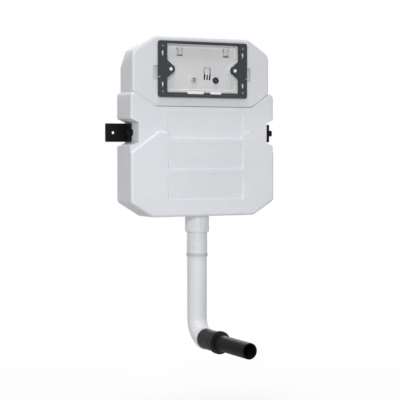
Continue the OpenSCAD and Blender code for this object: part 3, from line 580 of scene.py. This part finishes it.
# Screw head with a cross recess, as a height field over a disc, with its shank
def cross_screw(place, direction, radius, dome, recess, shank_r, shank_len, rings=14, segments=48):
    matrix = facing(place, direction)
    arm = 0.26 * radius
    arm_fade = 1.6
    reach = 0.72 * radius
    reach_fade = 0.2 * radius
    fall = 0.86
    verts = [polar(matrix, 0, 0, dome - recess)]
    for k in range(1, rings + 1):
        r = radius * k / rings
        crown = dome * math.sqrt(1 - fall * (r / radius) ** 2)
        for angle in full_turn(segments):
            across = r * min(abs(math.cos(angle)), abs(math.sin(angle)))
            inside = clamped(arm_fade - across / arm) * clamped((reach - r) / reach_fade)
            verts.append(polar(matrix, r, angle, crown - recess * inside))
    base = len(verts)
    for r, height in ((radius, 0.0), (shank_r, 0.0), (shank_r, -shank_len)):
        for angle in full_turn(segments):
            verts.append(polar(matrix, r, angle, height))
    faces = [(0, 1 + i, 1 + (i + 1) % segments) for i in range(segments)]
    for first in range(1, base + 2 * segments, segments):
        faces.extend(ring_faces(first, first + segments, segments))
    faces.append(tuple(base + 2 * segments + i for i in range(segments - 1, -1, -1)))
    return verts, faces


def frame_screws():
    low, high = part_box("frame_screws")
    head_r = 2.6
    shank_len = (high[1] - frame_front) / MM
    shapes = []
    for x in (low[0] + head_r * MM, high[0] - head_r * MM):
        for z in (low[2] + head_r * MM, high[2] - head_r * MM):
            shapes.append(cross_screw((x, frame_front, z), FORWARD, head_r, dome=1.2, recess=0.9,
                                      shank_r=2.0, shank_len=shank_len))
    obj = add_piece("frame_screw_heads", *joined(shapes), DARK_ZINC, "cistern", "steel")
    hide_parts("frame_screws")


# Hexagon bolt with a flange and a dished head
def hex_bolt(place, direction, flat_r, head_t, flange_r, flange_t, shank_r, shank_len, steps=48):
    matrix = facing(place, direction)
    chamfer = 0.5
    dish = 0.3

    def ring(height, radius_at):
        return [polar(matrix, radius_at(angle), angle, height) for angle in full_turn(steps)]

    def hexagon(scale):
        return lambda angle: scale * flat_r / math.cos((angle % (math.pi / 3)) - math.pi / 6)

    def circle(radius):
        return lambda angle: radius

    return skin([
        ring(-shank_len, circle(shank_r)),
        ring(0, circle(shank_r)),
        ring(0, circle(flange_r)),
        ring(flange_t * 0.6, circle(flange_r)),
        ring(flange_t, circle(flat_r * 1.12)),
        ring(flange_t, hexagon(1.0)),
        ring(head_t - chamfer, hexagon(1.0)),
        ring(head_t, hexagon(0.88)),
        ring(head_t - dish, circle(flat_r * 0.6)),
        ring(head_t - dish, circle(flat_r * 0.1)),
    ])


# Bolts of the two wall brackets
def bracket_bolts():
    low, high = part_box("bracket_screws")
    head_t = 3.0
    mid_y = (low[1] + high[1]) / 2
    shapes = []
    for x, way in ((low[0] + head_t * MM, -1), (high[0] - head_t * MM, 1)):
        shapes.append(hex_bolt((x, mid_y, 0), (way, 0, 0), flat_r=3.7, head_t=head_t, flange_r=5.4,
                               flange_t=1.0, shank_r=3.0, shank_len=18.0))
    obj = add_piece("bracket_bolts", *joined(shapes), BLACK_STEEL, "cistern", "steel", degrees=25.0)
    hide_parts("bracket_screws")


# Raised white bead lines along the top and the foot of the cover; on the right they turn down close to the
# cover's edge, where the white bead stands in as a painted highlight along that edge
def cover_beads():
    inset = 7.0 * MM
    # Set close to the right edge, as a painted highlight along it
    highlight_inset = 3.5 * MM
    radius = 3.0 * MM
    clear = 31.0 * MM
    bead_r = 0.7 * MM
    x0, x1 = cover_low[0] + inset, cover_high[0] - highlight_inset
    shapes = []
    for way, edge_z in ((1, cover_high[2] - inset), (-1, cover_low[2] + inset)):
        end_z = frame_mid_z + way * clear
        bend_z = edge_z - way * radius
        middle = 180 - way * 90
        line = [Vector((x0, cover_front, end_z))]
        line += corner((x0 + radius, bend_z), radius, 180, middle, cover_front)
        line += corner((x1 - radius, bend_z), radius, middle, 180 - way * 180, cover_front)
        line.append(Vector((x1, cover_front, end_z)))
        shapes.append(tube(line, bead_r))
    add_piece("cover_beads", *joined(shapes), WHITE, "cover", "white_plastic")


# Collars of the cover round the two push rods
def rod_collars():
    clearance = 0.6
    shapes = []
    for name in ("push_rod_half", "push_rod_full"):
        low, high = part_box(name)
        radius = (high[0] - low[0]) / 2 / MM
        place = ((low[0] + high[0]) / 2, cover_front, (low[2] + high[2]) / 2)
        bore = radius + clearance
        profile = [(bore, 0.0), (bore, 0.9), (bore + 0.4, 1.2), (bore + 1.1, 1.1), (bore + 1.6, 0.0)]
        shapes.append(lathe(profile, facing(place, FORWARD)))
    add_piece("rod_collars", *joined(shapes), COVER, "cover", "cover")


# Tongue in the window of the cover, and the two slanted posts below it
def window_tongue():
    low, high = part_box("push_rod_full")
    aside = 20.5 * MM
    above = 15.0 * MM
    mid_x = (low[0] + high[0]) / 2 - aside
    mid_z = (low[2] + high[2]) / 2 + above
    tongue_y = cover_front + 0.6 * MM
    leaf_rise = 5.2 * MM
    leaf_size = (13.4, 15.4)
    leaf = plate((mid_x, tongue_y, mid_z + leaf_rise), leaf_size, radius=3.5, thick=2.0)
    add_piece("window_tongue", *leaf, COVER, "cover", "cover")
    post_r = 1.2 * MM
    post_y = tongue_y + 1.3 * MM
    post_top = mid_z - 1.0 * MM
    post_foot = mid_z - 14.6 * MM
    posts = []
    for start, end in ((4.4, 3.2), (-1.8, -3.4)):
        top = Vector((mid_x + start * MM, post_y, post_top))
        foot = Vector((mid_x + end * MM, post_y, post_foot))
        posts.append(tube([top, foot], post_r, sides=14))
    add_piece("window_posts", *joined(posts), WHITE, "cover", "white_plastic")


# Dark bars let into the cover round the latch grips, as painted shade where the latch slots are
def latch_slot_shades():
    low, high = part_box("cover_latches")
    grip = 3.5 * MM
    proud = 0.25 * MM
    foot_size = (15.0, 2.2)
    foot_drop = 10.4 * MM
    side_size = (1.8, 6.0)
    side_out = 6.6 * MM
    side_rise = 5.5 * MM
    radius = 0.6
    thick = 1.4
    mid_z = (low[2] + high[2]) / 2
    y = cover_front - proud
    shapes = []
    for x in (low[0] + grip, high[0] - grip):
        shapes.append(plate((x, y, mid_z - foot_drop), foot_size, radius, thick))
        for side in (-1, 1):
            shapes.append(plate((x + side * side_out, y, mid_z + side_rise), side_size, radius, thick))
    add_piece("latch_slot_shades", *joined(shapes), SLOT_SHADE, "cover", "dark_plastic")


# Dark floor in the hollow end of a push rod, as painted shade in the hollow, and a centre pin, which on the
# full rod is a lighter blue as a painted reflection
def rod_cup(name, body, pin_mat, slot):
    low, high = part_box(name)
    wall = 2.0
    bore = (high[0] - low[0]) / 2 / MM - wall
    place = ((low[0] + high[0]) / 2, low[1], (low[2] + high[2]) / 2)
    matrix = facing(place, FORWARD)
    floor = [(1.6, -3.2), (1.6, -2.6), (bore - 0.1, -2.6), (bore + 0.3, -3.2)]
    pin = [(0, -0.9), (1.7, -0.9), (2.1, -1.3), (2.1, -3.2), (0, -3.2)]
    add_piece(name + "_floor", *lathe(floor, matrix, segments=40), LEVER, body, "dark_plastic")
    add_piece(name + "_pin", *lathe(pin, matrix, segments=32), pin_mat, body, slot)


# Clamp band round the bead of the flush pipe
def pipe_band():
    low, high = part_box("union_nut")
    mid_y = (low[1] + high[1]) / 2
    drop = 49.0 * MM
    bead_r = 24.3
    profile = [(bead_r - 0.6, 0.0), (bead_r + 0.12, -0.3), (bead_r + 0.2, -0.8), (bead_r + 0.2, -6.6),
               (bead_r + 0.12, -7.2), (bead_r - 0.6, -7.6)]
    matrix = Matrix.Translation((0, mid_y, low[2] - drop))
    add_piece("pipe_band", *lathe(profile, matrix, segments=64), BAND, "cistern", "pipe")


# Thread on the water inlet, which fades out at both ends
def inlet_thread():
    inlet = mounts["water_inlet"]
    radius = inlet["dims"]["r_mm"]
    length = inlet["dims"]["length_mm"]
    margin = 1.2
    pitch = 1.8
    turns = (length - 2 * margin) / pitch
    per_turn = 40
    fade_steps = 8
    matrix = facing(inlet["pos_m"], (1, 0, 0))
    profile = [(-0.1, -0.8), (0.75, -0.15), (0.75, 0.15), (-0.1, 0.8)]
    rings = []
    count = int(turns * per_turn)
    for i in range(count + 1):
        angle = 2 * math.pi * i / per_turn
        fade = min(1.0, i / fade_steps, (count - i) / fade_steps)
        rise = -length / 2 + margin + pitch * i / per_turn
        rings.append([polar(matrix, radius + out * fade, angle, rise + up) for out, up in profile])
    add_piece("inlet_thread", *skin(rings), WHITE, "cistern", "white_plastic", degrees=50.0)


panel_fillets()
eye_inserts()
slot_tongues()
edge_clips()
frame_screws()
bracket_bolts()
cover_beads()
rod_collars()
window_tongue()
latch_slot_shades()
rod_cup("push_rod_half", "half_rod", COVER, "cover")
rod_cup("push_rod_full", "full_rod", REFLECTION_BLUE, "blue_plastic")
pipe_band()
inlet_thread()


# Stage, light and camera

def area_light(name, place, target, size, power):
    data = bpy.data.lights.new(name, "AREA")
    data.shape = "DISK"
    data.size = size
    data.energy = power
    obj = bpy.data.objects.new(name, data)
    obj.location = place
    obj.rotation_mode = "QUATERNION"
    obj.rotation_quaternion = (Vector(target) - Vector(place)).to_track_quat("-Z", "Y")
    bpy.context.scene.collection.objects.link(obj)


# One where the ray comes straight from the camera, a mirror or a glass
def seen_directly(tree):
    path = tree.nodes.new("ShaderNodeLightPath")
    mirrored = combine(tree, "MAXIMUM", path.outputs["Is Camera Ray"], path.outputs["Is Glossy Ray"])
    return combine(tree, "MAXIMUM", mirrored, path.outputs["Is Transmission Ray"])


def make_world(strength):
    world = bpy.data.worlds.new("studio")
    bpy.context.scene.world = world
    world.use_nodes = True
    tree = world.node_tree
    tree.nodes.clear()
    out = tree.nodes.new("ShaderNodeOutputWorld")
    soft = tree.nodes.new("ShaderNodeBackground")
    soft.inputs["Color"].default_value = (0.97, 0.98, 1, 1)
    soft.inputs["Strength"].default_value = strength
    white = tree.nodes.new("ShaderNodeBackground")
    white.inputs["Color"].default_value = (1, 1, 1, 1)
    white.inputs["Strength"].default_value = 1.0
    mix = tree.nodes.new("ShaderNodeMixShader")
    tree.links.new(seen_directly(tree), mix.inputs["Fac"])
    tree.links.new(soft.outputs[0], mix.inputs[1])
    tree.links.new(white.outputs[0], mix.inputs[2])
    tree.links.new(mix.outputs[0], out.inputs["Surface"])


# Paper that fades into the white background outwards, and is grey to the rays that light the object
def floor_paper(radius, clear):
    mat, tree, shader = new_material("floor_paper")
    seen = seen_directly(tree)
    paper = tree.nodes.new("ShaderNodeMix")
    paper.data_type = "RGBA"
    paper.inputs["A"].default_value = (0.6, 0.6, 0.6, 1)
    tree.links.new(seen, paper.inputs["Factor"])
    pale = ramp(tree, noise(tree, scale=3.0), (0.93, 0.93, 0.93), (0.95, 0.95, 0.95))
    tree.links.new(pale, paper.inputs["B"])
    tree.links.new(paper.outputs["Result"], shader.inputs["Base Color"])
    tree.links.new(spread(tree, noise(tree, scale=8.0), 0.7, 0.8), shader.inputs["Roughness"])
    coord = tree.nodes.new("ShaderNodeTexCoord")
    span = tree.nodes.new("ShaderNodeVectorMath")
    span.operation = "LENGTH"
    tree.links.new(coord.outputs["Object"], span.inputs[0])
    fade = tree.nodes.new("ShaderNodeMapRange")
    fade.interpolation_type = "SMOOTHSTEP"
    fade.inputs["From Min"].default_value = clear
    fade.inputs["From Max"].default_value = radius
    fade.inputs["To Min"].default_value = 0.65
    tree.links.new(span.outputs["Value"], fade.inputs["Value"])
    white = tree.nodes.new("ShaderNodeEmission")
    white.inputs["Color"].default_value = (1, 1, 1, 1)
    white.inputs["Strength"].default_value = 1.0
    mix = tree.nodes.new("ShaderNodeMixShader")
    tree.links.new(combine(tree, "MULTIPLY", fade.outputs["Result"], seen), mix.inputs["Fac"])
    tree.links.new(shader.outputs["BSDF"], mix.inputs[1])
    tree.links.new(white.outputs[0], mix.inputs[2])
    tree.links.new(mix.outputs[0], tree.nodes["Material Output"].inputs["Surface"])
    return mat


# Floor disc that keeps the shadow near the object
def make_floor(height, radius, clear, segments=96):
    verts = [(0, 0, height)]
    for angle in full_turn(segments):
        verts.append((radius * math.cos(angle), radius * math.sin(angle), height))
    faces = [(0, 1 + i, 1 + (i + 1) % segments) for i in range(segments)]
    mesh = bpy.data.meshes.new("floor")
    mesh.from_pydata(verts, [], faces)
    mesh.materials.append(floor_paper(radius, clear))
    floor = bpy.data.objects.new("floor", mesh)
    bpy.context.scene.collection.objects.link(floor)


# Camera at a place, turned to the right and down by angles in degrees
def make_camera(place, yaw, fall, lens):
    data = bpy.data.cameras.new("camera")
    data.sensor_width = 36.0
    data.lens = lens
    camera = bpy.data.objects.new("camera", data)
    camera.location = place
    across = math.radians(yaw)
    down = math.radians(fall)
    look = Vector((math.sin(across) * math.cos(down), math.cos(across) * math.cos(down), -math.sin(down)))
    camera.rotation_mode = "QUATERNION"
    camera.rotation_quaternion = look.to_track_quat("-Z", "Y")
    bpy.context.scene.collection.objects.link(camera)
    bpy.context.scene.camera = camera


make_world(strength=0.28)
make_floor(height=-0.67, radius=1.5, clear=0.2)
area_light("key", place=(-1.55, -2.4, 0.9), target=(0, 0, -0.2), size=1.2, power=35.0)
area_light("low", place=(-0.8, -2.2, -0.3), target=(0, 0, -0.2), size=0.7, power=7.5)
area_light("top", place=(-0.5, -0.9, 3.4), target=(0, -0.05, 0), size=1.2, power=56.0)
area_light("back", place=(1.2, 2.6, 1.0), target=(0, 0, -0.05), size=1.6, power=34.0)
make_camera(place=(-1.3217, -2.6487, -0.037), yaw=27.0, fall=2.30, lens=114.2)
bpy.context.scene.view_settings.view_transform = "Standard"
